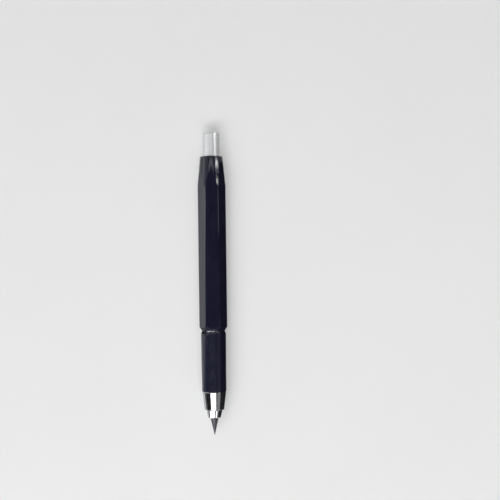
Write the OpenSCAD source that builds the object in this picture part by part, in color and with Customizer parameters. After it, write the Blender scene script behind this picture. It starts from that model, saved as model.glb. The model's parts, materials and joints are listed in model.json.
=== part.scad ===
// Clutch lead holder for thick drawing leads: a hexagonal barrel with a round grip, a push
// button at the rear, and three spring jaws that hold the lead where it leaves the nose.
//
// Millimetres, +Z up. The holder lies on one flat of its barrel. +X runs from the button to
// the point of the lead. The origin is on the ground, below the middle of the length.

/* [Lengths] */
// Push button standing out behind the barrel
button_out = 11.8; // [8:0.1:16]
// Hexagonal barrel, from its rear rim to the groove at the grip
barrel_len = 87.4; // [80:0.1:110]
// Round grip, from the groove to the nose
grip_len = 30; // [24:0.5:40]
// Nose, from the grip to its front rim
nose_len = 9.1; // [8:0.1:14]
// Jaws standing out in front of the nose
jaw_out = 4; // [3:0.1:6]
// Pointed lead standing out in front of the jaws
lead_out = 8.5; // [2:0.5:11]

/* [Lead] */
// Diameter of the lead
lead_d = 5.6; // [5:0.1:5.8]
// Length of the lead with its point
lead_len = 120; // [60:1:130]
// Angle between the two sides of the point
point_angle = 25; // [20:1:40]
// Width of the blunt end of the point
point_d = 0.3; // [0.1:0.05:0.8]

/* [Barrel] */
// Width of the hexagon across its flats
flats = 12.6; // [12.2:0.1:14]
// Radius of the hexagon's corners
corner_r = 2.1; // [1:0.1:3]
// Flatness of those arcs, above 1 to leave a fine edge beside each flat
corner_ease = 1.12; // [1.05:0.01:1.4]
// Diameter of the round rim at the rear
rim_d = 11.2; // [10.4:0.1:11.8]
// Length of the turned taper in front of that rim
taper_len = 14.8; // [10:0.1:20]
// Bevel on the edges of the rim
rim_bevel = 0.3; // [0.1:0.05:0.5]
// Slope of the bevel at the front end
front_slope = 33; // [20:1:45]
// Length of the neck between that bevel and the grip
neck_len = 0.7; // [0.3:0.1:1.2]
// Slope of the neck
neck_slope = 12; // [6:1:18]
// Diameter of the neck at the grip, in the bottom of the groove
neck_d = 11.5; // [11:0.1:11.8]

/* [Grip] */
// Depth of the grip below the flats of the barrel
grip_inset = 0.05; // [0.05:0.05:0.3]
// Radius that the grip loses towards the nose
grip_taper = 0.2; // [0:0.05:0.4]
// Radius of the rounded shoulder at the groove
grip_round = 2.5; // [1.5:0.1:4]

/* [Nose] */
// Depth of the nose below the grip
nose_inset = 0.08; // [0:0.02:0.2]
// Diameter of the front rim
nose_d = 9.8; // [9.5:0.1:10.6]
// Radius of the edge of the front rim
nose_edge = 0.3; // [0.1:0.05:0.4]
// Length of the socket that screws onto the front bush
socket_len = 4.6; // [3:0.1:5]

/* [Jaws] */
// Diameter of the closed jaws where they leave the nose
jaw_d = 8.1; // [7.8:0.1:8.3]
// Diameter of the closed jaws at their front ends
jaw_tip_d = 6.5; // [6.4:0.1:7]
// Length of a jaw with its spring finger
finger_len = 26; // [22:1:32]
// Wall of the spring finger
finger_wall = 0.45; // [0.3:0.05:0.5]
// Length of the jaw's bite on the lead
bite_len = 8; // [5:0.5:12]
// Width of the slits between the jaws
slit_w = 0.5; // [0.3:0.05:0.8]
// Turn of the upper slit about the axis, away from straight up
slit_turn = 6; // [-30:1:30]
// Slope of the seat that closes the jaws
seat_slope = 12; // [9:1:15]
// Length of that seat in the nose
seat_len = 1.6; // [1:0.1:2]

/* [Tube and stem] */
// Wall of the lead tube
tube_wall = 0.25; // [0.2:0.05:0.3]
// Wall of the stem where it takes the tube
stem_wall = 0.3; // [0.2:0.05:0.4]
// Length of the stem behind the spring fingers
stem_len = 14; // [10:1:20]
// Depth of the tube's end in the stem
tube_in_stem = 7; // [4:1:9]

/* [Button] */
// Diameter of the button
button_d = 8.2; // [8:0.1:8.6]
// Length of the button inside the barrel
button_in = 7; // [5:0.5:10]
// Thickness of the button's closed end
button_end = 1.6; // [1:0.1:3]
// Radius of the edge of that end
button_edge = 0.6; // [0.2:0.1:0.9]
// Way of the button from rest to fully pressed
stroke = 4.5; // [3:0.1:5]

/* [Spring] */
// Diameter of the wire
wire_d = 0.5; // [0.4:0.05:0.5]
// Turns of the coil, with one close turn at each end
turns = 9; // [6:1:12]
// Length of the spring at rest
spring_len = 24; // [18:1:30]
// Gap between the close turns at the ends
close_gap = 0.45; // [0.42:0.01:0.6]
// Length of the ring on which the spring stands
seat_ring_len = 2.4; // [1.5:0.1:4]

/* [Front bush] */
// Wall of the bush round the stem
bush_wall = 1; // [0.8:0.1:1]
// Length of the bush inside the barrel
bush_in = 14; // [8:1:18]

/* [Edges] */
// Small bevel on turned edges
bevel = 0.2; // [0.1:0.05:0.25]
// Straight rim of the jaws in front of the nose
jaw_rim = 0.4; // [0.2:0.1:1]
// Depth of the fine line turned round the button
line_depth = 0.12; // [0.05:0.01:0.2]
// Distance of that line from the barrel
line_out = 1.9; // [1:0.1:6]

/* [Fits] */
// Radial play of the lead in the stem and the spring fingers
lead_play = 0.1; // [0.05:0.01:0.15]
// Radial play of the lead in its tube
tube_play = 0.2; // [0.1:0.05:0.2]
// Gap between the closed jaws and the lead
bite_gap = 0.03; // [0.02:0.01:0.05]
// Gap between the closed jaws and their seat
seat_gap = 0.05; // [0.03:0.01:0.08]
// Radial play of sliding pieces
slide_gap = 0.06; // [0.04:0.01:0.08]
// Radial play of the spring
spring_play = 0.08; // [0.05:0.01:0.1]
// Radial gap of pressed and screwed pieces
press_gap = 0.01; // [0.005:0.005:0.02]
// Radial room round the spring fingers, for when the jaws open
finger_room = 0.55; // [0.5:0.05:0.6]
// Radial room round the lead tube in the barrel
tube_room = 0.3; // [0.1:0.05:0.3]
// Gap in front of the bush, inside the nose
socket_gap = 0.1; // [0.05:0.05:0.3]
// Gap behind the spring fingers, where they bend
root_gap = 0.05; // [0.03:0.01:0.1]
// Gap at the ends of the spring
wire_end = 0.02; // [0.01:0.01:0.05]

/* [Hidden] */
$fn = 96;

// Stations along the axis, counted from the end of the button
z_rim = button_out;
z_groove = z_rim + barrel_len;
z_grip = z_groove + grip_len;
z_nose = z_grip + nose_len;
z_jaw = z_nose + jaw_out;
overall = z_jaw + lead_out;
z_button = z_rim + button_in;
z_ledge = z_button + stroke;
z_seat = z_button + spring_len;
z_step = z_seat + seat_ring_len;
z_root = z_jaw - finger_len;
z_stem = z_root - stem_len;
z_bush = z_groove - bush_in;
z_bush_front = z_grip + socket_len - socket_gap;

// Radii, from the lead outwards
lead_r = lead_d / 2;
bite_r = lead_r + bite_gap;
stem_in_r = lead_r + lead_play;
finger_r = stem_in_r + finger_wall;
tube_in_r = lead_r + tube_play;
tube_r = tube_in_r + tube_wall;
stem_r = tube_r + press_gap + stem_wall;
guide_r = stem_r + slide_gap;
bush_r = guide_r + bush_wall;
open_r = finger_r + finger_room;
spring_r = tube_r + spring_play + wire_d / 2;
spring_bore_r = spring_r + wire_d / 2 + spring_play;
button_r = button_d / 2;
button_bore_r = button_r + slide_gap;
corner_out_r = (flats / 2 - corner_r) / cos(30) + corner_r;
grip_r = flats / 2 - grip_inset;
nose_r = grip_r - grip_taper - nose_inset;
jaw_r = jaw_d / 2;
jaw_tip_r = jaw_tip_d / 2;
mouth_r = jaw_r + seat_gap / cos(seat_slope);
throat_r = mouth_r - seat_len * tan(seat_slope);
wedge_len = (jaw_r - finger_r) / tan(seat_slope);

// How far a cut runs past the piece that it cuts
over = 1;

// Colours of the materials
black_gloss = [0.05, 0.05, 0.07];
black_satin = [0.09, 0.09, 0.11];
silver_satin = [0.72, 0.73, 0.75];
chrome = [0.85, 0.86, 0.88];
brass = [0.78, 0.62, 0.32];
spring_steel = [0.55, 0.56, 0.58];
graphite = [0.32, 0.32, 0.35];

// Lays the axis along +X, with one flat of the barrel on the ground
module laid() {
    translate([-overall / 2, 0, flats / 2])
        rotate([0, 90, 0])
            children();
}

// A turned piece, from pairs of radius and station
module turned(outline) {
    rotate_extrude()
        polygon(outline);
}

// A turned hole or shaft between two stations
module round_bar(r, z0, z1) {
    translate([0, 0, z0])
        cylinder(r = r, h = z1 - z0);
}

// Section of the barrel: a hexagon whose corners are cut back to round arcs
module hexagon() {
    arc_r = corner_r * corner_ease;
    arc_c = corner_out_r - arc_r;
    difference() {
        rotate(30)
            circle(r = flats / 2 / cos(30), $fn = 6);
        for (k = [0:5])
            rotate(60 * k + 30)
                difference() {
                    polygon([
                        [flats / 2 / cos(30) + over, 0],
                        corner_foot(arc_c, -1),
                        corner_foot(arc_c, 1)
                    ]);
                    translate([arc_c, 0])
                        circle(r = arc_r);
                }
    }
}

// Point on a flat that is nearest to the centre of a corner's arc
function corner_foot(arc_c, side) = let (out = flats / 2 - arc_c * cos(30))
    [arc_c + out * cos(30), side * out * sin(30)];

// Turned outline that shapes both ends of the barrel
module barrel_envelope() {
    wide = corner_out_r + over;
    slope = (corner_out_r - rim_d / 2) / taper_len;
    z_neck = z_groove - neck_len;
    neck_r = neck_d / 2 + neck_len * tan(neck_slope);
    turned([
        [0, z_rim],
        [rim_d / 2 - rim_bevel, z_rim],
        [rim_d / 2 + slope * rim_bevel, z_rim + rim_bevel],
        [wide, z_rim + (wide - rim_d / 2) / slope],
        [wide, z_neck - (wide - neck_r) / tan(front_slope)],
        [neck_r, z_neck],
        [neck_d / 2, z_groove],
        [0, z_groove]
    ]);
}

// Hexagonal body with a stepped bore: button, spring, lead tube, front bush
module barrel() {
    color(black_gloss) laid() difference() {
        intersection() {
            translate([0, 0, z_rim])
                linear_extrude(height = barrel_len)
                    hexagon();
            barrel_envelope();
        }
        turned([
            [0, z_rim - over],
            [button_bore_r + rim_bevel + over, z_rim - over],
            [button_bore_r, z_rim + rim_bevel],
            [button_bore_r, z_ledge],
            [spring_bore_r, z_ledge],
            [spring_bore_r, z_step],
            [tube_r + tube_room, z_step],
            [tube_r + tube_room, z_bush],
            [bush_r + press_gap, z_bush],
            [bush_r + press_gap, z_groove + over],
            [0, z_groove + over]
        ]);
    }
}

// Round sleeve held between the barrel and the nose, with a rounded shoulder at the groove
module grip_sleeve() {
    front_r = grip_r - grip_taper;
    round_c = grip_r - grip_round;
    z_round = z_groove + sqrt(pow(grip_round, 2) - pow(neck_d / 2 - round_c, 2));
    color(black_satin) laid() rotate_extrude() difference() {
        union() {
            intersection() {
                translate([round_c, z_round])
                    circle(r = grip_round);
                translate([0, z_groove])
                    square([grip_r + over, z_round - z_groove]);
            }
            polygon([
                [0, z_groove],
                [neck_d / 2, z_groove],
                [round_c, z_round],
                [grip_r, z_round],
                [front_r, z_grip - bevel],
                [front_r - bevel, z_grip],
                [0, z_grip]
            ]);
        }
        translate([0, z_groove - over])
            square([bush_r + press_gap, grip_len + 2 * over]);
    }
}

// Sleeve in the barrel's front that carries the grip and the nose and guides the stem
module front_bush() {
    color(brass) laid() turned([
        [guide_r + bevel, z_bush],
        [bush_r - bevel, z_bush],
        [bush_r, z_bush + bevel],
        [bush_r, z_bush_front - bevel],
        [bush_r - bevel, z_bush_front],
        [open_r, z_bush_front],
        [open_r, z_root + open_r - guide_r],
        [guide_r, z_root],
        [guide_r, z_bush + bevel]
    ]);
}

// Cone with a socket behind, room for the fingers, and the seat that closes the jaws
module nose_cone() {
    slope = atan((nose_r - nose_d / 2) / nose_len);
    edge_r = nose_d / 2 - nose_edge;
    color(chrome) laid() rotate_extrude() difference() {
        union() {
            polygon([
                [0, z_grip],
                [nose_r - bevel, z_grip],
                [nose_r, z_grip + bevel],
                [edge_r + nose_edge * cos(slope), z_nose - nose_edge + nose_edge * sin(slope)],
                [edge_r, z_nose - nose_edge],
                [edge_r, z_nose],
                [0, z_nose]
            ]);
            translate([edge_r, z_nose - nose_edge])
                circle(r = nose_edge);
        }
        polygon([
            [-over, z_grip - over],
            [bush_r + press_gap + bevel + over, z_grip - over],
            [bush_r + press_gap, z_grip + bevel],
            [bush_r + press_gap, z_grip + socket_len],
            [open_r, z_grip + socket_len],
            [open_r, z_nose - seat_len - bevel],
            [throat_r, z_nose - seat_len],
            [mouth_r, z_nose],
            [mouth_r, z_nose + over],
            [-over, z_nose + over]
        ]);
    }
}

// Ring on a step of the bore: the spring stands on it and the tube slides in it
module spring_seat() {
    ring_r = spring_bore_r - press_gap;
    color(brass) laid() turned([
        [tube_r + slide_gap, z_seat],
        [ring_r - bevel, z_seat],
        [ring_r, z_seat + bevel],
        [ring_r, z_step],
        [tube_r + slide_gap, z_step]
    ]);
}

// Path of the spring wire: close turns at both ends, open turns between them
rings = 24;
sides = 6;
close_pitch = wire_d + close_gap;
open_pitch = (spring_len - wire_d - 2 * wire_end - 2 * close_pitch) / (turns - 2);
function climb(t) = t < 1 ? t * close_pitch
    : t < turns - 1 ? close_pitch + (t - 1) * open_pitch
    : close_pitch + (turns - 2) * open_pitch + (t - turns + 1) * close_pitch;
function wire_at(i) = let (t = i / rings) [
    spring_r * cos(360 * t),
    spring_r * sin(360 * t),
    z_button + wire_end + wire_d / 2 + climb(t)
];
coil_gap = min([for (i = [0:rings * (turns - 1)]) norm(wire_at(i + rings) - wire_at(i))]) - wire_d;
echo(least_gap_between_turns = coil_gap);

// One ring of points round the wire
function wire_ring(i) = let (
    a = 360 * i / rings,
    c = wire_at(i)
) [for (k = [0:sides - 1]) let (b = 360 * k / sides) [
    c[0] + wire_d / 2 * cos(b) * cos(a),
    c[1] + wire_d / 2 * cos(b) * sin(a),
    c[2] + wire_d / 2 * sin(b)
]];

// Compression spring round the tube, between the button and its seat
module return_spring() {
    last = rings * turns;
    points = [for (i = [0:last]) each wire_ring(i)];
    skin = [for (i = [0:last - 1], k = [0:sides - 1]) let (
        a = i * sides + k,
        b = i * sides + (k + 1) % sides
    ) each [[a, b, b + sides], [a, b + sides, a + sides]]];
    start_cap = [for (k = [1:sides - 2]) [0, k + 1, k]];
    end_cap = [for (k = [1:sides - 2]) [last * sides, last * sides + k, last * sides + k + 1]];
    color(spring_steel) laid()
        polyhedron(points = points, faces = concat(skin, start_cap, end_cap));
}

// Turned button on the end of the tube, with a fine line near the barrel
module push_button() {
    line = z_rim - line_out - button_edge;
    color(silver_satin) laid() rotate_extrude() difference() {
        union() {
            square([button_r - button_edge, z_button]);
            translate([0, button_edge])
                polygon([
                    [0, 0],
                    [button_r, 0],
                    [button_r, line - bevel],
                    [button_r - line_depth, line],
                    [button_r, line + bevel],
                    [button_r, z_button - button_edge - bevel],
                    [button_r - bevel, z_button - button_edge],
                    [0, z_button - button_edge]
                ]);
            translate([button_r - button_edge, button_edge])
                circle(r = button_edge);
        }
        polygon([
            [-over, button_end],
            [tube_r + press_gap, button_end],
            [tube_r + press_gap, z_button + over],
            [-over, z_button + over]
        ]);
    }
}

// Thin tube from the button to the stem, open for the lead
module lead_tube() {
    z_end = z_stem + tube_in_stem;
    color(silver_satin) laid() difference() {
        round_bar(tube_r, button_end, z_end);
        round_bar(tube_in_r, button_end - over, z_end + over);
    }
}

// Turned stem: socket for the tube behind, root of the spring fingers in front
module collet_stem() {
    z_end = z_root - root_gap;
    color(brass) laid() turned([
        [tube_r + press_gap, z_stem],
        [stem_r - bevel, z_stem],
        [stem_r, z_stem + bevel],
        [stem_r, z_end - bevel],
        [finger_r, z_end],
        [stem_in_r, z_end],
        [stem_in_r, z_stem + tube_in_stem],
        [tube_r + press_gap, z_stem + tube_in_stem]
    ]);
}

// Outline of the jaws: finger, wedge that meets the seat, taper to the tip, bite on the lead
module jaw_ring() {
    turned([
        [stem_in_r, z_root],
        [finger_r, z_root],
        [finger_r, z_nose - wedge_len],
        [jaw_r, z_nose],
        [jaw_r, z_nose + jaw_rim],
        [jaw_tip_r, z_jaw - bevel],
        [jaw_tip_r - bevel, z_jaw],
        [bite_r, z_jaw],
        [bite_r, z_jaw - bite_len],
        [stem_in_r, z_jaw - bite_len - bevel]
    ]);
}

// One third of the ring, cut back by half a slit on both sides
module jaw(number) {
    far = 2 * jaw_r;
    color(chrome) laid()
        rotate(120 * number - slit_turn)
            intersection() {
                jaw_ring();
                translate([slit_w / 2 / sin(60), 0, z_root - over])
                    linear_extrude(height = finger_len + 2 * over)
                        polygon([[0, 0], [far, -far * tan(60)], [far, far * tan(60)]]);
            }
}

// Graphite lead with a sharpened point
module lead() {
    point_len = (lead_r - point_d / 2) / tan(point_angle / 2);
    z_back = overall - lead_len;
    color(graphite) laid() turned([
        [0, z_back],
        [lead_r - bevel, z_back],
        [lead_r, z_back + bevel],
        [lead_r, overall - point_len],
        [point_d / 2, overall],
        [0, overall]
    ]);
}

barrel();
grip_sleeve();
front_bush();
nose_cone();
spring_seat();
return_spring();
push_button();
lead_tube();
collet_stem();
jaw(0);  // jaw_1
jaw(1);  // jaw_2
jaw(2);  // jaw_3
lead();
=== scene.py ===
# %% [markdown]
# # A clutch lead holder
#
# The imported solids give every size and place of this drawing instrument. This lesson dresses
# them: soft edges that catch the light, a satin button, a gloss black barrel, a chrome nose and
# a graphite lead. It could all be modelled by eye, but with the solids first and the looks
# second, nothing has to be fitted.

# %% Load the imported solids
import json
import math

import bmesh
import bpy
from mathutils import Matrix, Vector


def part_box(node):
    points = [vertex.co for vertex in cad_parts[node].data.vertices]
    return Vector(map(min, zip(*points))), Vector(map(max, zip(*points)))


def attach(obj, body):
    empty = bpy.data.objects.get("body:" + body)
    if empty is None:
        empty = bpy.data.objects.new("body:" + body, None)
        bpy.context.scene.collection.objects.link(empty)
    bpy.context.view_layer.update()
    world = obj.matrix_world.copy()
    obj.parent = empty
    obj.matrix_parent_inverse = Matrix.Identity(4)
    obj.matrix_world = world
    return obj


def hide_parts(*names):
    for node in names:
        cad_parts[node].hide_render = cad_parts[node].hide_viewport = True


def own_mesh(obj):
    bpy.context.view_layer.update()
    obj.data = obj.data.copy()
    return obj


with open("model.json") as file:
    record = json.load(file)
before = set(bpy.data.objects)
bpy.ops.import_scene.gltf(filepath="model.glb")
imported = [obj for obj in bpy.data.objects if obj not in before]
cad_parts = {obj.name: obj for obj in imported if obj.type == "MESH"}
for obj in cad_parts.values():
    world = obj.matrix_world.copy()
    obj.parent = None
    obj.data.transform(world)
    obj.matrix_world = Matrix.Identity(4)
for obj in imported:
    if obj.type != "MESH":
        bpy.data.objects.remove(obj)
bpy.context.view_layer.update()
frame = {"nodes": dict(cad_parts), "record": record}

# %% [markdown]
# ## One axis and a few stations
#
# Every piece of the holder is turned about one line. The line could be typed in as numbers, but
# the lead is round, so the middle of its box lies on that line already. The ends of the other
# boxes give the stations along it. All later outlines are pairs of station and radius in
# millimetres, so the dressed pieces start and end where the solids do.

# %% Axis and stations
MM = 0.001
low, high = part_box("lead")
AXIS = Vector((0, (low.y + high.y) / 2, (low.z + high.z) / 2))


def station(node, end):
    """Where a node begins (end 0) or ends (end 1) along the axis, in millimetres."""
    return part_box(node)[end].x / MM


REAR, RIM = station("push_button", 0), station("barrel", 0)
GROOVE, COLLAR = station("barrel", 1), station("grip_sleeve", 1)
MOUTH, JAW_TIP, POINT = station("nose_cone", 1), station("jaw_1", 1), station("lead", 1)
print("axis height", round(AXIS.z / MM, 3), "mm")
print("stations", [round(s, 2) for s in (REAR, RIM, GROOVE, COLLAR, MOUTH, JAW_TIP, POINT)])

# %% [markdown]
# ## Turning on a lathe
#
# A lathe cuts one outline all the way round, and the spin operator does the same with a line of
# edges. A ready-made cylinder would need a loop cut for every step of its bore. A third number
# in a corner of the outline asks for a rounded edge: a vertex bevel on the bare line rounds it
# before the spin, which is cleaner than bevelling whole rings afterwards. Some operators number
# their new points in an order that changes from run to run, so the points are put in order by
# their place, and later cuts come out the same each time.

# %% The lathe
ROUND_STEPS = 5    # short edges that make up one rounded corner
SAME_POINT = 1e-7  # points closer than this, in metres, become one


def put_in_order(bm):
    """Number points by place, start many-sided faces at their first point, sort the rest."""
    for rank, vert in enumerate(sorted(bm.verts, key=lambda v: v.co[:])):
        vert.index = rank
    for face in [f for f in bm.faces if len(f.verts) > 4]:
        points, smooth, slot = face.verts[:], face.smooth, face.material_index
        first = points.index(min(points, key=lambda v: v.index))
        bm.faces.remove(face)
        face = bm.faces.new(points[first:] + points[:first])
        face.smooth, face.material_index = smooth, slot
        face.normal_update()
    for elements in (bm.edges, bm.faces):
        by_points = sorted(elements, key=lambda e: sorted(v.index for v in e.verts))
        for rank, element in enumerate(by_points):
            element.index = rank
        elements.sort()
    bm.verts.sort()


def turn(outline, steps, closed=True):
    """Spin pairs of station and radius about the axis. A third number rounds that corner."""
    bm = bmesh.new()
    verts = [bm.verts.new((x * MM, AXIS.y, AXIS.z + r * MM)) for x, r, *_ in outline]
    for a, b in zip(verts, verts[1:] + verts[:1] if closed else verts[1:]):
        bm.edges.new((a, b))
    by_size = {}
    for vert, corner in zip(verts, outline):
        if len(corner) == 3:
            by_size.setdefault(corner[2], []).append(vert)
    for size, corners in by_size.items():
        bmesh.ops.bevel(bm, geom=corners, offset=size * MM, offset_type="OFFSET",
                        segments=ROUND_STEPS, profile=0.5, affect="VERTICES", material=-1)
    bmesh.ops.spin(bm, geom=bm.verts[:] + bm.edges[:], cent=AXIS, axis=(1, 0, 0),
                   angle=math.tau, steps=steps, use_merge=True)
    bmesh.ops.remove_doubles(bm, verts=bm.verts[:], dist=SAME_POINT)
    bmesh.ops.recalc_face_normals(bm, faces=bm.faces[:])
    put_in_order(bm)
    return bm


print("lathe ready:", ROUND_STEPS, "steps to a rounded corner")

# %% [markdown]
# ## From mesh to piece
#
# A finished piece needs the same last steps every time: smooth faces, hard creases only where
# the angle is steep, normals that follow the large faces, a material, and its place in the
# frame. They could be repeated for each piece, but one function keeps all pieces alike. The
# object itself stays at the origin, and its place is in its mesh.

# %% Hand a mesh over
CREASE = 38  # degrees from which an edge stays hard


def hand_over(bm, name, node, slot, *materials):
    """Make a piece of a bmesh: it replaces a node and rides on its body. The argument slot is not
    used.
    """
    for face in bm.faces:
        face.smooth = True
    for edge in bm.edges:
        edge.smooth = len(edge.link_faces) == 2 and edge.calc_face_angle() < math.radians(CREASE)
    put_in_order(bm)
    mesh = bpy.data.meshes.new(name)
    bm.to_mesh(mesh)
    bm.free()
    piece = bpy.data.objects.new(name, mesh)
    bpy.context.scene.collection.objects.link(piece)
    for material in materials:
        mesh.materials.append(material)
    weigh = piece.modifiers.new("weighted normals", "WEIGHTED_NORMAL")
    weigh.keep_sharp = True
    body = next(b for b, nodes in frame["record"]["behaviour"]["bodies"].items() if node in nodes)
    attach(piece, body)
    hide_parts(node)
    print(name, "on", body, "with", len(mesh.polygons), "faces")
    return piece


print("hard edges from", CREASE, "degrees")

# %% [markdown]
# ## Reading a surface
#
# All finishes share a few nodes: object coordinates, a stretched noise, and a range that turns
# the noise into gloss, colour or bump. Stretching the noise along the axis gives drawn streaks,
# and squeezing it gives the rings that a lathe tool leaves. Painted pictures could do the same,
# but noise has no seams and stays sharp from any distance.

# %% A finish and its noise
def principled(material):
    """The one shader on which every finish is built."""
    return material.node_tree.nodes["Principled BSDF"]


def new_finish(name, colour, roughness, metallic=0.0):
    """A material with its principled shader set to plain values."""
    material = bpy.data.materials.new(name)
    material.use_nodes = True
    inputs = principled(material).inputs
    inputs["Base Color"].default_value = (*colour, 1)
    inputs["Roughness"].default_value = roughness
    inputs["Metallic"].default_value = metallic
    return material


def grain(material, per_metre, detail=3.0, roughness=0.55):
    """Noise on object coordinates: per_metre is how many lumps fit in a metre along X, Y, Z."""
    tree = material.node_tree
    where = tree.nodes.new("ShaderNodeTexCoord")
    stretch = tree.nodes.new("ShaderNodeMapping")
    stretch.inputs["Scale"].default_value = per_metre
    noise = tree.nodes.new("ShaderNodeTexNoise")
    noise.inputs["Scale"].default_value = 1.0
    noise.inputs["Detail"].default_value = detail
    noise.inputs["Roughness"].default_value = roughness
    tree.links.new(where.outputs["Object"], stretch.inputs["Vector"])
    tree.links.new(stretch.outputs["Vector"], noise.inputs["Vector"])
    return noise.outputs["Fac"]


print("finishes: noise on object coordinates, in lumps per metre")

# %% [markdown]
# ## What a noise can do
#
# On the real holder the same marks show three times: as a change of gloss, as a change of
# colour and as small heights. Each gets a helper of its own. A group of nodes could hold all
# three, but plain links are easier to follow, and every finish mixes them in its own way.

# %% Gloss, colour and bumps from a noise
SPREAD = (0.3, 0.7)  # between these values lies most of a noise
MICRON = 0.000001


def vary_gloss(material, source, low, high, spread=SPREAD):
    """Drive the roughness from a noise, between two values."""
    tree = material.node_tree
    scale = tree.nodes.new("ShaderNodeMapRange")
    scale.inputs["From Min"].default_value, scale.inputs["From Max"].default_value = spread
    scale.inputs["To Min"].default_value = low
    scale.inputs["To Max"].default_value = high
    tree.links.new(source, scale.inputs["Value"])
    tree.links.new(scale.outputs["Result"], principled(material).inputs["Roughness"])


def tint(material, source, dark, light):
    """Drive the base colour from a noise, between two colours."""
    tree = material.node_tree
    ramp = tree.nodes.new("ShaderNodeValToRGB")
    for stop, position, colour in zip(ramp.color_ramp.elements, SPREAD, (dark, light)):
        stop.position = position
        stop.color = (*colour, 1)
    tree.links.new(source, ramp.inputs["Fac"])
    tree.links.new(ramp.outputs["Color"], principled(material).inputs["Base Color"])


def raise_bumps(material, source, height, strength=1.0, under=None):
    """Bumps of a height in metres. under is an earlier bump node to build on."""
    tree = material.node_tree
    bump = tree.nodes.new("ShaderNodeBump")
    bump.inputs["Strength"].default_value = strength
    bump.inputs["Distance"].default_value = height
    tree.links.new(source, bump.inputs["Height"])
    if under:
        tree.links.new(under.outputs["Normal"], bump.inputs["Normal"])
    tree.links.new(bump.outputs["Normal"], principled(material).inputs["Normal"])
    return bump


def report(*materials):
    """Say how many nodes each finish has."""
    for material in materials:
        print(material.name, "has", len(material.node_tree.nodes), "nodes")


print("bumps are given in microns,", MICRON, "m each")

# %% [markdown]
# ## Gloss black
#
# The barrel is a smooth moulding in a black that leans to navy. A clear coat over a dull black
# could make the gloss, but moulded plastic has no coat, so the shader itself is smooth. Even a
# good gloss is never perfect: long shallow waves from the mould, faint clouds in the colour, and
# hairlines that run lengthwise from being slid in and out of a case.

# %% Gloss black for the barrel
gloss_black = new_finish("gloss_black", (0.010, 0.010, 0.021), 0.13)
clouds = grain(gloss_black, (120, 260, 260), detail=2.0)
tint(gloss_black, clouds, dark=(0.0088, 0.0088, 0.0230), light=(0.0128, 0.0128, 0.0292))
hairlines = grain(gloss_black, (90, 5200, 5200), detail=4.0, roughness=0.7)
vary_gloss(gloss_black, hairlines, 0.05, 0.10, spread=(0.35, 0.75))
swell = grain(gloss_black, (260, 520, 520), detail=1.0)
waves = raise_bumps(gloss_black, swell, 4 * MICRON)
raise_bumps(gloss_black, hairlines, 0.4 * MICRON, under=waves)
report(gloss_black)

# %% [markdown]
# ## Satin black
#
# The grip is the same black with a fine matt skin, so that fingers don't slip. The skin is a
# grain of about a tenth of a millimetre, too fine to model. As a bump under a rougher gloss it
# spreads the highlight wide and lifts the black.

# %% Satin black for the grip
satin_black = new_finish("satin_black", (0.014, 0.014, 0.025), 0.34)
skin = grain(satin_black, (7000, 7000, 7000), detail=2.0)
patches = grain(satin_black, (180, 300, 300))
tint(satin_black, patches, dark=(0.0070, 0.0074, 0.0220), light=(0.0095, 0.0100, 0.0270))
vary_gloss(satin_black, patches, 0.20, 0.25)
raise_bumps(satin_black, skin, 6 * MICRON, strength=0.6)
report(satin_black)

# %% [markdown]
# ## Satin aluminium
#
# The button is turned and then brushed on the lathe, so its marks run round it. Marks that run
# round spread a reflection along the axis: lamps turn into long stripes from end to end. Bumps
# alone would need marks finer than a pixel, so the shader's own anisotropy makes the stripes,
# with its grain laid round the X axis, and the bumps only add the rings that the eye can see.

# %% Satin aluminium for the button
satin_aluminium = new_finish("satin_aluminium", (0.70, 0.71, 0.72), 0.45, metallic=1.0)
brushed = principled(satin_aluminium).inputs
brushed["Anisotropic"].default_value = 0.65
brushed["Anisotropic Rotation"].default_value = 0.25
rings = grain(satin_aluminium, (9000, 90, 90), roughness=0.6)
tint(satin_aluminium, rings, dark=(0.66, 0.67, 0.68), light=(0.75, 0.76, 0.77))
vary_gloss(satin_aluminium, grain(satin_aluminium, (300, 300, 300)), 0.45, 0.50)
raise_bumps(satin_aluminium, rings, 8 * MICRON, strength=0.8)
round_it = satin_aluminium.node_tree.nodes.new("ShaderNodeTangent")
round_it.direction_type, round_it.axis = "RADIAL", "X"
satin_aluminium.node_tree.links.new(round_it.outputs["Tangent"], brushed["Tangent"])
report(satin_aluminium)

# %% [markdown]
# ## Chrome
#
# Nose and jaws are plated. A perfect mirror would do at a glance, but plating keeps faint
# turning rings under its shine and picks up smears, so the gloss and the grey change a little
# from place to place.

# %% Chrome for nose and jaws
chrome = new_finish("chrome", (0.60, 0.61, 0.63), 0.06, metallic=1.0)
smears = grain(chrome, (420, 420, 420), detail=4.0)
vary_gloss(chrome, smears, 0.035, 0.11, spread=(0.3, 0.8))
tint(chrome, smears, dark=(0.50, 0.51, 0.53), light=(0.56, 0.57, 0.59))
raise_bumps(chrome, grain(chrome, (6000, 120, 120), detail=2.0), 1.2 * MICRON)
report(chrome)

# %% [markdown]
# ## Graphite
#
# The lead is a fired mix of graphite and clay. Its side is extruded, with fine streaks along it
# and a dull shine. Its point is freshly cut, with rings from the sharpener and brighter grains.
# One material could switch between the two by position, but two slots keep each one simple.

# %% Graphite for side and point
graphite_side = new_finish("graphite_side", (0.105, 0.105, 0.118), 0.45, metallic=0.35)
streaks = grain(graphite_side, (160, 5200, 5200), detail=4.0, roughness=0.65)
tint(graphite_side, streaks, dark=(0.048, 0.048, 0.057), light=(0.080, 0.080, 0.091))
vary_gloss(graphite_side, streaks, 0.36, 0.54)
raise_bumps(graphite_side, streaks, 6 * MICRON, strength=0.8)

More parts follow.
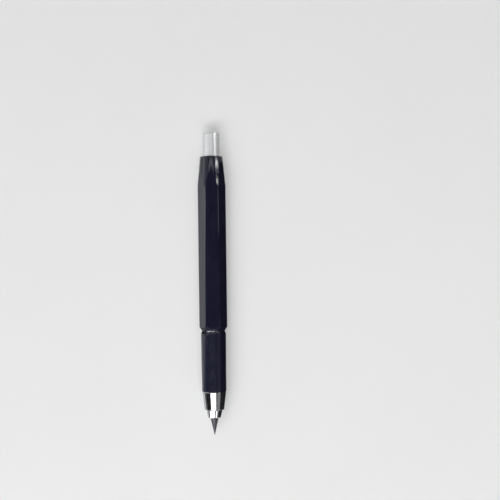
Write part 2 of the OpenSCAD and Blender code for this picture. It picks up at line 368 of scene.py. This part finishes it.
graphite_cut = new_finish("graphite_cut", (0.115, 0.115, 0.128), 0.42, metallic=0.4)
shavings = grain(graphite_cut, (5200, 420, 420), detail=4.0, roughness=0.7)
tint(graphite_cut, shavings, dark=(0.040, 0.040, 0.049), light=(0.075, 0.075, 0.087))
vary_gloss(graphite_cut, shavings, 0.32, 0.52)
raise_bumps(graphite_cut, shavings, 16 * MICRON, strength=0.9)
report(graphite_side, graphite_cut)

# %% [markdown]
# ## Metals inside
#
# Bush, seat and stem are turned brass, the lead tube is drawn aluminium and the spring is drawn
# steel wire. None shows until the holder is taken apart, so plain colours would pass, but each
# keeps the marks of its making: rings from the tool, or streaks from the die.

# %% Brass, drawn aluminium and spring wire
brass = new_finish("turned_brass", (0.72, 0.55, 0.25), 0.28, metallic=1.0)
tool_marks = grain(brass, (5200, 80, 80))
tarnish = grain(brass, (240, 240, 240), detail=4.0)
tint(brass, tarnish, dark=(0.62, 0.45, 0.19), light=(0.76, 0.59, 0.28))
vary_gloss(brass, tool_marks, 0.22, 0.38)
raise_bumps(brass, tool_marks, 10 * MICRON)

drawn_aluminium = new_finish("drawn_aluminium", (0.70, 0.71, 0.73), 0.34, metallic=1.0)
drawn = grain(drawn_aluminium, (40, 4200, 4200))
tint(drawn_aluminium, drawn, dark=(0.64, 0.65, 0.67), light=(0.75, 0.76, 0.78))
vary_gloss(drawn_aluminium, drawn, 0.28, 0.42)
raise_bumps(drawn_aluminium, drawn, 6 * MICRON)

spring_wire = new_finish("spring_wire", (0.50, 0.50, 0.52), 0.3, metallic=1.0)
scale_marks = grain(spring_wire, (1600, 1600, 1600), detail=4.0)
tint(spring_wire, scale_marks, dark=(0.40, 0.40, 0.42), light=(0.56, 0.56, 0.58))
vary_gloss(spring_wire, scale_marks, 0.22, 0.40)
report(brass, drawn_aluminium, spring_wire)

# %% [markdown]
# ## Pieces that keep their solids
#
# Bush, seat, stem and tube are plain turned parts hidden inside. They could be spun anew, but
# their solids already have the right shape, so they only change their finish.

# %% Finishes for the hidden pieces
for node, finish in (("front_bush", brass), ("spring_seat", brass), ("collet_stem", brass),
                     ("lead_tube", drawn_aluminium)):
    slots = frame["nodes"][node].data.materials
    slots.clear()
    slots.append(finish)
    print(node, "takes", finish.name)

# %% [markdown]
# ## Barrel
#
# The real barrel is a hexagon with a turned taper at the rear, and in front a turned bevel that
# ends in a short narrow neck. A six-sided prism would have to be carved at both ends. Turning
# comes first here: a round blank with taper, bevel, neck and stepped bore, a little wider than
# the hexagon's corners, from which the flats are cut in the next steps.

# %% Barrel blank
RIM_R, CORNER_R, BLANK_R, NECK_R = 5.6, 6.949, 7.6, 5.75
TAPER, NECK, EDGE = 14.8, 0.7, 0.3
BEVEL_SLOPE, NECK_SLOPE = math.radians(33), math.radians(12)
BUSH_BORE, TUBE_BORE, SPRING_BORE, BUTTON_BORE, BORE_LIP = 4.63, 3.55, 3.91, 4.16, 4.46
BUSH_END, SEAT_END, LEDGE = 9.8, -30.2, -52.1  # stations of the steps in the bore
rise = (CORNER_R - RIM_R) / TAPER
neck_top = NECK_R + NECK * math.tan(NECK_SLOPE)
blank = turn([
    (RIM, RIM_R - EDGE, 0.1),
    (RIM + EDGE, RIM_R + EDGE * rise, 0.14),
    (RIM + (BLANK_R - RIM_R) / rise, BLANK_R),
    (GROOVE - NECK - (BLANK_R - neck_top) / math.tan(BEVEL_SLOPE), BLANK_R),
    (GROOVE - NECK, neck_top, 0.1), (GROOVE, NECK_R, 0.04),
    (GROOVE, BUSH_BORE), (BUSH_END, BUSH_BORE), (BUSH_END, TUBE_BORE),
    (SEAT_END, TUBE_BORE), (SEAT_END, SPRING_BORE), (LEDGE, SPRING_BORE),
    (LEDGE, BUTTON_BORE), (RIM + EDGE, BUTTON_BORE), (RIM, BORE_LIP, 0.06),
], steps=288)
print("blank", len(blank.faces), "faces, rear taper rises", round(rise, 4))

# %% [markdown]
# ## Cutting by a plane
#
# A flat on a turned bar is milled: all that stands outside a plane goes. A boolean with a box
# could do that, but a bisect needs no second body and leaves exact edges. It opens the mesh, so
# the cut is closed with one flat face.

# %% Plane cuts
def slice_off(bm, point, outward):
    """Cut away all that lies outside a plane and close the cut with one flat face."""
    cut = bmesh.ops.bisect_plane(bm, geom=bm.verts[:] + bm.edges[:] + bm.faces[:], dist=1e-8,
                                 plane_co=point, plane_no=outward, clear_outer=True)
    rim = [e for e in cut["geom_cut"] if isinstance(e, bmesh.types.BMEdge) and e.is_boundary]
    bmesh.ops.holes_fill(bm, edges=rim, sides=0)


def around(degrees):
    """Direction away from the axis: 0 is straight up, 90 is towards +Y."""
    a = math.radians(degrees)
    return Vector((0, math.sin(a), math.cos(a)))


print("plane cuts ready, up is", around(0)[:])

# %% [markdown]
# ## Flats and round corners
#
# Where the six flats meet the turned ends, they leave curved scallops. Those could be drawn as
# curves, but cutting the blank by one plane for each flat gives them without any drawing. The
# real corners are round, so a fan of planes follows the arc of each corner.

# %% Six flats and their round corners
FLAT = AXIS.z / MM - 0.002  # just short of the solid, so that the visual stays inside it
ARC_R = 2.352               # radius of a round corner
ARC_C = CORNER_R - ARC_R
FAN, FAN_STEP = 24, 6       # degrees to each side of a corner, and between two cuts
SLIVER = 0.002              # edges shorter than this are merged away
planes = [(60 * k, FLAT) for k in range(6)]
for k in range(6):
    for lean in range(-FAN, FAN + 1, FAN_STEP):
        reach = ARC_C * math.cos(math.radians(lean)) + ARC_R
        planes.append((60 * k + 30 + lean, reach))
for turned_by, reach in planes:
    slice_off(blank, AXIS + around(turned_by) * reach * MM, around(turned_by))
bmesh.ops.remove_doubles(blank, verts=blank.verts[:], dist=SLIVER * MM)
print("planes", len(planes), "blank", len(blank.faces), "faces")

# %% [markdown]
# ## Soft scallops
#
# Polishing takes the sharpness off the scallops, and that thin round edge is what glints on the
# real barrel. Sharp edges in the normals alone would never catch a lamp, so the edges between a
# cut side and a turned end get a real bevel. It can bulge past a flat by a hair, which one more
# cut by each flat takes off.

# %% Bevelled scallops
SOFT_EDGE, SPARE = 0.1, 0.001
LEVEL = 0.002    # how far a cut side may lean along the axis
BORE_SIDE = 6    # cut sides lie further out than this, the walls of the bore closer in


def is_side(face):
    """A cut face along the barrel: it looks straight away from the axis."""
    out = (face.calc_center_median() - AXIS).yz.length
    return abs(face.normal.x) < LEVEL and out > BORE_SIDE * MM


scallops = [e for e in blank.edges if len(e.link_faces) == 2
            and is_side(e.link_faces[0]) != is_side(e.link_faces[1])]
bmesh.ops.bevel(blank, geom=scallops, offset=SOFT_EDGE * MM, offset_type="OFFSET", segments=3,
                profile=0.5, affect="EDGES", clamp_overlap=False, material=-1)
put_in_order(blank)
for k in range(6):
    slice_off(blank, AXIS + around(60 * k) * (FLAT + SPARE) * MM, around(60 * k))
print("scallop edges", len(scallops))
hand_over(blank, "barrel_shell", "barrel", "barrel_black", gloss_black)

# %% [markdown]
# ## Grip sleeve
#
# The grip is a turned sleeve. It rises from the barrel's neck in a rounded shoulder, so that the
# two make a groove, and it narrows by a fifth of a millimetre towards the nose. A cylinder with
# a bevel modifier would round every edge alike. In an outline each corner has a radius of its
# own, and only these edges show that the grip is a separate piece.

# %% Grip sleeve
SHOULDER, SHOULDER_R, SHOULDER_ROUND = 0.667, 6.25, 0.8
GRIP_END_R, GRIP_FACE_R, GRIP_EDGE = 6.05, 5.85, 0.2
sleeve = turn([
    (GROOVE, BUSH_BORE), (GROOVE, NECK_R), (GROOVE + SHOULDER, SHOULDER_R, SHOULDER_ROUND),
    (COLLAR - GRIP_EDGE, GRIP_END_R, 0.1), (COLLAR, GRIP_FACE_R, 0.06), (COLLAR, BUSH_BORE),
], steps=192)
hand_over(sleeve, "grip_sleeve_shell", "grip_sleeve", "grip_black", satin_black)

# %% [markdown]
# ## Nose
#
# The nose is a short plated cone with a rolled front rim. Inside it has a socket for the bush
# and, just behind its mouth, the steep seat that squeezes the jaws shut. A cone primitive would
# have none of that. One closed outline, outside first and back along the bore, has it all.

# %% Nose
NOSE_R, NOSE_REAR_R, NOSE_EDGE, SOCKET_LIP = 5.97, 5.77, 0.2, 4.83
RIM_OUT, RIM_ROUND, SEAT_R = 4.88, 0.28, 4.10
THROAT, THROAT_R, GUIDE, GUIDE_R, SOCKET = 1.6, 3.76, 1.8, 3.9, 4.6
nose = turn([
    (COLLAR, NOSE_REAR_R, 0.06), (COLLAR + NOSE_EDGE, NOSE_R, 0.14),
    (MOUTH, RIM_OUT, RIM_ROUND), (MOUTH, SEAT_R, 0.05), (MOUTH - THROAT, THROAT_R, 0.05),
    (MOUTH - GUIDE, GUIDE_R), (COLLAR + SOCKET, GUIDE_R), (COLLAR + SOCKET, BUSH_BORE),
    (COLLAR + NOSE_EDGE, BUSH_BORE), (COLLAR, SOCKET_LIP),
], steps=192)
hand_over(nose, "nose_shell", "nose_cone", "chrome", chrome)

# %% [markdown]
# ## Jaws
#
# The three jaws are one turned ring with a wedge at its front, sawn into thirds. They could be
# modelled one by one, but three sawn rings fit each other as the real ones do. Each third is cut
# from the full ring by two planes, half a slit away from the axis. A saw leaves sharp edges, so
# these stay hard, and only the turned corners are rounded.

# %% Jaws
ROOT, SLIT, SLIT_TURN = station("jaw_1", 0), 0.5, 6
FINGER_IN, FINGER_OUT, JAW_R, TIP_R, FACE_R, HOLD_R = 2.9, 3.35, 4.05, 3.25, 3.05, 2.83
WEDGE, BAND, TIP_EDGE, HOLD, HOLD_END = 3.293, 0.4, 0.2, 8, 8.2
for number in range(3):
    ring = turn([
        (ROOT, FINGER_IN), (ROOT, FINGER_OUT), (MOUTH - WEDGE, FINGER_OUT, 0.3),
        (MOUTH, JAW_R, 0.05), (MOUTH + BAND, JAW_R, 0.12), (JAW_TIP - TIP_EDGE, TIP_R, 0.08),
        (JAW_TIP, FACE_R, 0.06), (JAW_TIP, HOLD_R, 0.04), (JAW_TIP - HOLD, HOLD_R),
        (JAW_TIP - HOLD_END, FINGER_IN),
    ], steps=144)
    middle = 180 - (120 * number - SLIT_TURN)
    for side in (-1, 1):
        outward = around(middle + side * 150)
        slice_off(ring, AXIS - outward * SLIT / 2 * MM, outward)
    hand_over(ring, f"jaw_{number + 1}_shell", f"jaw_{number + 1}", "chrome", chrome)

# %% [markdown]
# ## Lead
#
# A lead of 5.6 mm with a point from a sharpener. The tip is worn to a small round end. A cone on
# a cylinder would leave a hard joint, so side, shoulder and tip are one open outline that starts
# and ends on the axis. Faces in front of the shoulder take the freshly cut finish.

# %% Lead
LEAD_R, POINT_LEN, WORN_R = 2.8, 11.953, 0.15
LEAD_START = station("lead", 0)
rod = turn([
    (LEAD_START, 0), (LEAD_START, LEAD_R, 0.2),
    (POINT - POINT_LEN, LEAD_R, 0.1), (POINT, WORN_R, 0.05), (POINT, 0),
], steps=128, closed=False)
for face in rod.faces:
    face.material_index = int(face.calc_center_median().x > (POINT - POINT_LEN) * MM)
hand_over(rod, "lead_rod", "lead", "graphite", graphite_side, graphite_cut)

# %% [markdown]
# ## Push button
#
# The button is a turned cap on the end of the lead tube, with a rounded end and one fine line
# near the barrel. The line could be a dark ring in the material, but a real groove shades by
# itself from every side, and it costs three corners of the outline.

# %% Push button
BUTTON_R, BUTTON_FACE_R, END_ROUND, FOOT_EDGE = 4.1, 3.9, 0.6, 0.2
LINE, LINE_HALF, LINE_R = RIM - 1.9, 0.2, 3.98
CAP, CAP_BORE, FOOT = 1.6, 3.26, station("push_button", 1)
cap = turn([
    (REAR, 0), (REAR, BUTTON_R, END_ROUND), (LINE - LINE_HALF, BUTTON_R, 0.04), (LINE, LINE_R),
    (LINE + LINE_HALF, BUTTON_R, 0.04), (FOOT - FOOT_EDGE, BUTTON_R, 0.06),
    (FOOT, BUTTON_FACE_R, 0.06), (FOOT, CAP_BORE), (REAR + CAP, CAP_BORE), (REAR + CAP, 0),
], steps=160, closed=False)
hand_over(cap, "push_button_shell", "push_button", "button_silver", satin_aluminium)

# %% [markdown]
# ## Return spring
#
# The spring is drawn wire wound on a rod: one close turn, seven open turns, one close turn. A
# curve with a round bevel could follow a helix, but its points would have to be worked out. The
# spin operator winds the wire by itself, if every step also moves a little along the axis.

# %% Return spring
WIRE_R, COIL_R, CLOSE_PITCH, OPEN_TURNS = 0.25, 3.58, 0.95, 7
WIRE_SIDES, TURN_STEPS = 12, 40
SPRING_START, SPRING_END = station("return_spring", 0), station("return_spring", 1)
open_pitch = (SPRING_END - SPRING_START - 2 * WIRE_R - 2 * CLOSE_PITCH) / OPEN_TURNS
coil = bmesh.new()
foot = AXIS + around(180) * COIL_R * MM + Vector(((SPRING_START + WIRE_R) * MM, 0, 0))
across = Matrix.Rotation(math.pi / 2, 4, "X")
bmesh.ops.create_circle(coil, segments=WIRE_SIDES, radius=WIRE_R * MM,
                        matrix=Matrix.Translation(foot) @ across)
wire = coil.verts[:] + coil.edges[:]
for turns, pitch in ((1, CLOSE_PITCH), (OPEN_TURNS, open_pitch), (1, CLOSE_PITCH)):
    wound = bmesh.ops.spin(coil, geom=wire, cent=AXIS, axis=(1, 0, 0), angle=-math.tau * turns,
                           steps=TURN_STEPS * turns, dvec=(pitch * MM / TURN_STEPS, 0, 0))
    wire = wound["geom_last"]
bmesh.ops.remove_doubles(coil, verts=coil.verts[:], dist=SAME_POINT)
bmesh.ops.holes_fill(coil, edges=[e for e in coil.edges if e.is_boundary], sides=0)
bmesh.ops.recalc_face_normals(coil, faces=coil.faces[:])
spring = hand_over(coil, "return_spring_coil", "return_spring", "spring_steel", spring_wire)
spring.modifiers.clear()
print("open pitch", round(open_pitch, 3), "mm")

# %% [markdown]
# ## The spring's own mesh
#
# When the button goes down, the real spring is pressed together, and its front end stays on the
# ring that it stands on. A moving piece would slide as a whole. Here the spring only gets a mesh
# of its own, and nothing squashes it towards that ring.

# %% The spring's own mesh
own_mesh(spring)

# %% [markdown]
# ## Floor finish
#
# The holder lies on a plain pale floor. Lamps alone would leave the far floor grey, and stronger
# lamps would bleach the holder. So the floor also glows in its own pale colour, only for rays
# from the camera, from mirrors and through glass: a little near the holder, where the floor keeps
# its shadow, and wholly far out, where no shadow falls.

# %% Pale floor
PALE, NEAR, FAR, NEAR_GLOW = (0.86, 0.86, 0.86), 0.22, 0.55, 0.3
pale = new_finish("pale_floor", PALE, 0.9)
tint(pale, grain(pale, (14, 14, 14)), dark=(0.85, 0.85, 0.85), light=(0.87, 0.87, 0.87))
tree = pale.node_tree
where, rays = tree.nodes.new("ShaderNodeTexCoord"), tree.nodes.new("ShaderNodeLightPath")
away, far = tree.nodes.new("ShaderNodeVectorMath"), tree.nodes.new("ShaderNodeMapRange")
away.operation = "LENGTH"
far.inputs["From Min"].default_value, far.inputs["From Max"].default_value = NEAR, FAR
far.inputs["To Min"].default_value = NEAR_GLOW
glow, both = tree.nodes.new("ShaderNodeEmission"), tree.nodes.new("ShaderNodeMixShader")
glow.inputs["Color"].default_value = (*PALE, 1)
tree.links.new(where.outputs["Object"], away.inputs[0])
tree.links.new(away.outputs["Value"], far.inputs["Value"])


def combine(operation, first, second):
    """A math node of the floor on two sockets."""
    node = tree.nodes.new("ShaderNodeMath")
    node.operation = operation
    tree.links.new(first, node.inputs[0])
    tree.links.new(second, node.inputs[1])
    return node.outputs[0]


seen = combine("MAXIMUM", rays.outputs["Is Camera Ray"], rays.outputs["Is Glossy Ray"])
seen = combine("MAXIMUM", seen, rays.outputs["Is Transmission Ray"])
amount = combine("MULTIPLY", far.outputs["Result"], seen)
tree.links.new(amount, both.inputs["Fac"])
tree.links.new(principled(pale).outputs["BSDF"], both.inputs[1])
tree.links.new(glow.outputs["Emission"], both.inputs[2])
tree.links.new(both.outputs["Shader"], tree.nodes["Material Output"].inputs["Surface"])
report(pale)

# %% [markdown]
# ## Floor
#
# One large flat sheet is enough for a floor: a curved backdrop would only matter at its far end,
# which the glow already hides. It lies a hair below the holder, so that the two flat faces don't
# share one plane.

# %% Floor sheet
HALF_WIDTH, GAP = 6, 0.05  # metres, millimetres
sheet = bmesh.new()
bmesh.ops.create_grid(sheet, x_segments=1, y_segments=1, size=HALF_WIDTH)
bmesh.ops.translate(sheet, verts=sheet.verts[:], vec=(0, 0, -GAP * MM))
mesh = bpy.data.meshes.new("floor")
sheet.to_mesh(mesh)
sheet.free()
floor = bpy.data.objects.new("floor", mesh)
bpy.context.scene.collection.objects.link(floor)
mesh.materials.append(pale)
print("floor", floor.dimensions[:])

# %% [markdown]
# ## Light
#
# Shiny black and chrome show the lamps more than they show themselves, so the lamps stand where
# the bright bands on the real holder ask for them. Two large softboxes beyond the point, a
# little to the left, are the white band on the nose and the white dash in the groove. A wide
# weak lamp above fills the shadows, and polished faces don't mirror that one. Two panels on the
# right brighten the other side. A picture of a studio would light it all at once, but no band
# in it could be moved alone.

# %% Lamps that light the scene
def lamp(name, size, place, aim, radiance, along=(0, 1, 0), mirrored=True, shines=True):
    """An area lamp: its first size lies along a direction, and radiance 1 is white paper."""
    data = bpy.data.lights.new(name, "AREA")
    data.shape = "RECTANGLE"
    data.size, data.size_y = size
    data.energy = radiance * math.pi * size[0] * size[1]
    light = bpy.data.objects.new(name, data)
    back = (Vector(place) - Vector(aim)).normalized()
    side = (Vector(along) - back * back.dot(Vector(along))).normalized()
    light.matrix_world = Matrix((side, back.cross(side), back)).transposed().to_4x4()
    light.location = place
    light.visible_glossy, light.visible_diffuse, light.visible_camera = mirrored, shines, False
    bpy.context.scene.collection.objects.link(light)
    print(name, round(data.energy, 2), "W")


LENGTHWISE, SLANTED = (1, 0, 0), (0, 0.93, 0.37)
lamp("softbox", size=(1.5, 0.25), place=(0.710, -0.210, 1.012), aim=(0.194, 0.210, 0.016),
     radiance=6.5, along=SLANTED)
lamp("softbox_top", size=(1.17, 0.18), place=(0.518, -0.092, 1.161), aim=(0.002, 0.328, 0.165),
     radiance=5.0, along=SLANTED)
lamp("fill", size=(2.4, 2.4), place=(-0.2, -0.7, 1.8), aim=(0, 0, 0), radiance=1.08,
     mirrored=False)
lamp("right_panel", size=(0.50, 0.44), place=(0.30, 0.55, 0.47), aim=(0.058, 0, 0.01),
     radiance=0.32, along=LENGTHWISE)
lamp("side_panel", size=(0.20, 0.20), place=(0.62, 0.48, 0.68), aim=(0.06, 0, 0), radiance=5.0)

# %% [markdown]
# ## Glints
#
# A few bright marks on the real holder are much smaller than a softbox: the left end of the
# dash, the pale zone and two glints on the rear taper, a corner of the barrel and a stripe on
# the button. Each gets a lamp of its own that only reflections show, so that it draws its mark
# and leaves the light on floor and colours alone. Painted marks would stay in place when the
# holder turns, and a reflection wanders as it should.

# %% Lamps that only reflections show
lamp("softbox_low", size=(0.56, 0.16), place=(0.70, -0.86, 0.60), aim=(0.023, -0.003, 0.011),
     radiance=11.0, along=(0.01, 0.35, 0.30), shines=False)
lamp("rear_panel", size=(0.30, 0.115), place=(-0.2038, 0.0, 0.2968), aim=(-0.0658, 0.0, 0.0088),
     radiance=1.4, shines=False)
lamp("rear_strip", size=(0.30, 0.0040), place=(-0.1422, 0.0, 0.3262), aim=(-0.0042, 0.0, 0.0382),
     radiance=3.4, shines=False)
lamp("corner_strip", size=(0.032, 0.05), place=(-0.046, 0.24, 0.19), aim=(-0.046, 0, 0),
     radiance=2.0, along=LENGTHWISE, shines=False)
lamp("rim_spot", size=(0.17, 0.003), place=(-0.1290, 0.246, 0.1725), aim=(-0.061, 0.003, 0.0114),
     radiance=26.0, along=(-0.045, -0.55, 0.83), shines=False)
lamp("taper_spot", size=(0.09, 0.002), place=(-0.1161, 0.2386, 0.1863),
     aim=(-0.051, 0.003, 0.0123), radiance=28.0, along=(-0.05, -0.6, 0.8), shines=False)
lamp("button_lamp", size=(0.10, 0.08), place=(-0.25, 0.24, 0.14), aim=(-0.07, 0, 0),
     radiance=14.5, along=LENGTHWISE, shines=False)

# %% [markdown]
# ## Boards
#
# Photographers also set small black and white boards beside a shiny thing: a black one keeps the
# pale floor out of a gloss black side, a white one draws a long bright edge. Real ones would
# throw shadows and stand in the picture. These are seen by reflections alone.

# %% Boards that only reflections show
def board(name, corners, colour, glow=0.0):
    """A flat board that only reflections show: it lights nothing and casts no shadow."""
    bm = bmesh.new()
    bm.faces.new([bm.verts.new(c) for c in corners])
    mesh = bpy.data.meshes.new(name)
    bm.to_mesh(mesh)
    bm.free()
    sheet = bpy.data.objects.new(name, mesh)
    bpy.context.scene.collection.objects.link(sheet)
    material = new_finish(name, colour, 0.9)
    principled(material).inputs["Emission Color"].default_value = (1, 1, 1, 1)
    principled(material).inputs["Emission Strength"].default_value = glow
    mesh.materials.append(material)
    sheet.visible_camera = sheet.visible_diffuse = sheet.visible_shadow = False
    print(name, "with", len(corners), "corners")


def beside(start, end, lower, upper):
    """Corners of a board along the holder, between a lower and an upper edge given as y, z."""
    return [(start, *lower), (end, *lower), (end, *upper), (start, *upper)]


def across_at(x, *outline):
    """Corners of a board across the holder, given as y, z."""
    return [(x, y, z) for y, z in outline]


BLACK, DARK, SILVER = (0.01, 0.01, 0.012), (0.02, 0.02, 0.02), (0.62, 0.62, 0.63)
WALL = -0.3  # where the boards on the left stand
print("boards on the left stand", -WALL, "m from the axis")

# %% [markdown]
# ## Where the boards stand
#
# The right side of barrel and grip faces a black board, the button a silver one. Small black
# boards in the groove cut the dash to its length and make the dark notch beside it. On the left
# a white wall board draws the bright edge of the barrel. Its slanted top ends that edge softly.
# Larger lamps could do the same from further off, but not on one piece alone.

# %% Boards along the holder
board("black_board", beside(-0.062, 0.072, (0.008, 0), (0.018, 0.016)), BLACK)
board("button_board", beside(-0.090, -0.062, (0.006, 0), (0.018, 0.016)), SILVER)
board("nose_board", beside(0.054, 0.10, (-0.035, 0.0002), (-0.30, 0.0002)), BLACK)
board("nose_back", beside(0.09, 0.24, (WALL, 0), (WALL, 0.045)), BLACK)
board("neck_board", across_at(0.0255, (-0.0094, 0), (-0.024, 0), (-0.024, 0.011),
                              (-0.0094, 0.011)), BLACK)
board("shoulder_board", across_at(0.0226, (-0.0063, 0), (-0.014, 0), (-0.014, 0.0085),
                                  (-0.026, 0.0085), (-0.026, 0.0145), (-0.0063, 0.0145)), BLACK)
board("groove_board", across_at(0, (0.015, 0.015), (0.055, 0.015), (0.055, 0.055),
                                (0.015, 0.055)), DARK, glow=0.12)
WHITE_OUTLINE = ((-0.085, 0), (0.05, 0), (0.035, 0.085), (-0.012, 0.21), (-0.055, 0.46),
                 (-0.085, 0.46))
board("white_board", [(x, WALL, z) for x, z in WHITE_OUTLINE], DARK, glow=2.0)
board("taper_board", beside(-0.140, -0.104, (-0.299, 0), (-0.299, 0.17)), DARK, glow=1.5)
board("rear_board", beside(-0.40, -0.085, (WALL, 0), (WALL, 0.46)), DARK, glow=0.6)

# %% [markdown]
# ## Dim studio
#
# What is neither lamp nor board mirrors the room. One grey all round would lie as a veil on the
# black top of the barrel, so the room is dark overhead and pale only in a low band at the
# horizon, where the floor goes on into the backdrop.

# %% Studio around it
HORIZON, ABOVE = (0.02, (0.80, 0.80, 0.81, 1)), (0.09, (0.02, 0.02, 0.022, 1))
world = bpy.data.worlds.new("studio")
bpy.context.scene.world = world
world.use_nodes = True
tree = world.node_tree
where = tree.nodes.new("ShaderNodeTexCoord")
split = tree.nodes.new("ShaderNodeSeparateXYZ")
ramp = tree.nodes.new("ShaderNodeValToRGB")
for stop, (height, colour) in zip(ramp.color_ramp.elements, (HORIZON, ABOVE)):
    stop.position, stop.color = height, colour
tree.links.new(where.outputs["Generated"], split.inputs["Vector"])
tree.links.new(split.outputs["Z"], ramp.inputs["Fac"])
tree.links.new(ramp.outputs["Color"], tree.nodes["Background"].inputs["Color"])
print("studio: pale at the horizon, dark overhead")

# %% [markdown]
# ## Camera
#
# The picture is taken from straight above with a long lens. A camera could be aimed by eye, but
# two facts place it: half a millimetre fills one pixel of a frame of 500, and the middle of the
# holder has its own pixel, left of the middle of the frame. The button leans a little to the
# left, four pixels over the length of the holder.

# %% Camera
FRAME_PX, PIXEL = 500, 0.5001 * MM
HOLDER_PX, LEAN = Vector((212.8, 283.75)), math.atan2(4.0, 301.5)
right = Vector((math.sin(LEAN), math.cos(LEAN), 0))
up = Vector((-math.cos(LEAN), math.sin(LEAN), 0))
lens = bpy.data.cameras.new("camera")
lens.lens, lens.sensor_width = 90, 36
distance = FRAME_PX * PIXEL * lens.lens / lens.sensor_width
place = AXIS + right * (FRAME_PX / 2 - HOLDER_PX.x) * PIXEL
place += up * (HOLDER_PX.y - FRAME_PX / 2) * PIXEL
place += Vector((0, 0, distance))
camera = bpy.data.objects.new("camera", lens)
camera.matrix_world = Matrix((right, up, Vector((0, 0, 1)))).transposed().to_4x4()
camera.location = place
bpy.context.scene.collection.objects.link(camera)
bpy.context.scene.camera = camera
bpy.context.scene.view_settings.view_transform = "Standard"
print("camera at", [round(v, 4) for v in camera.location])
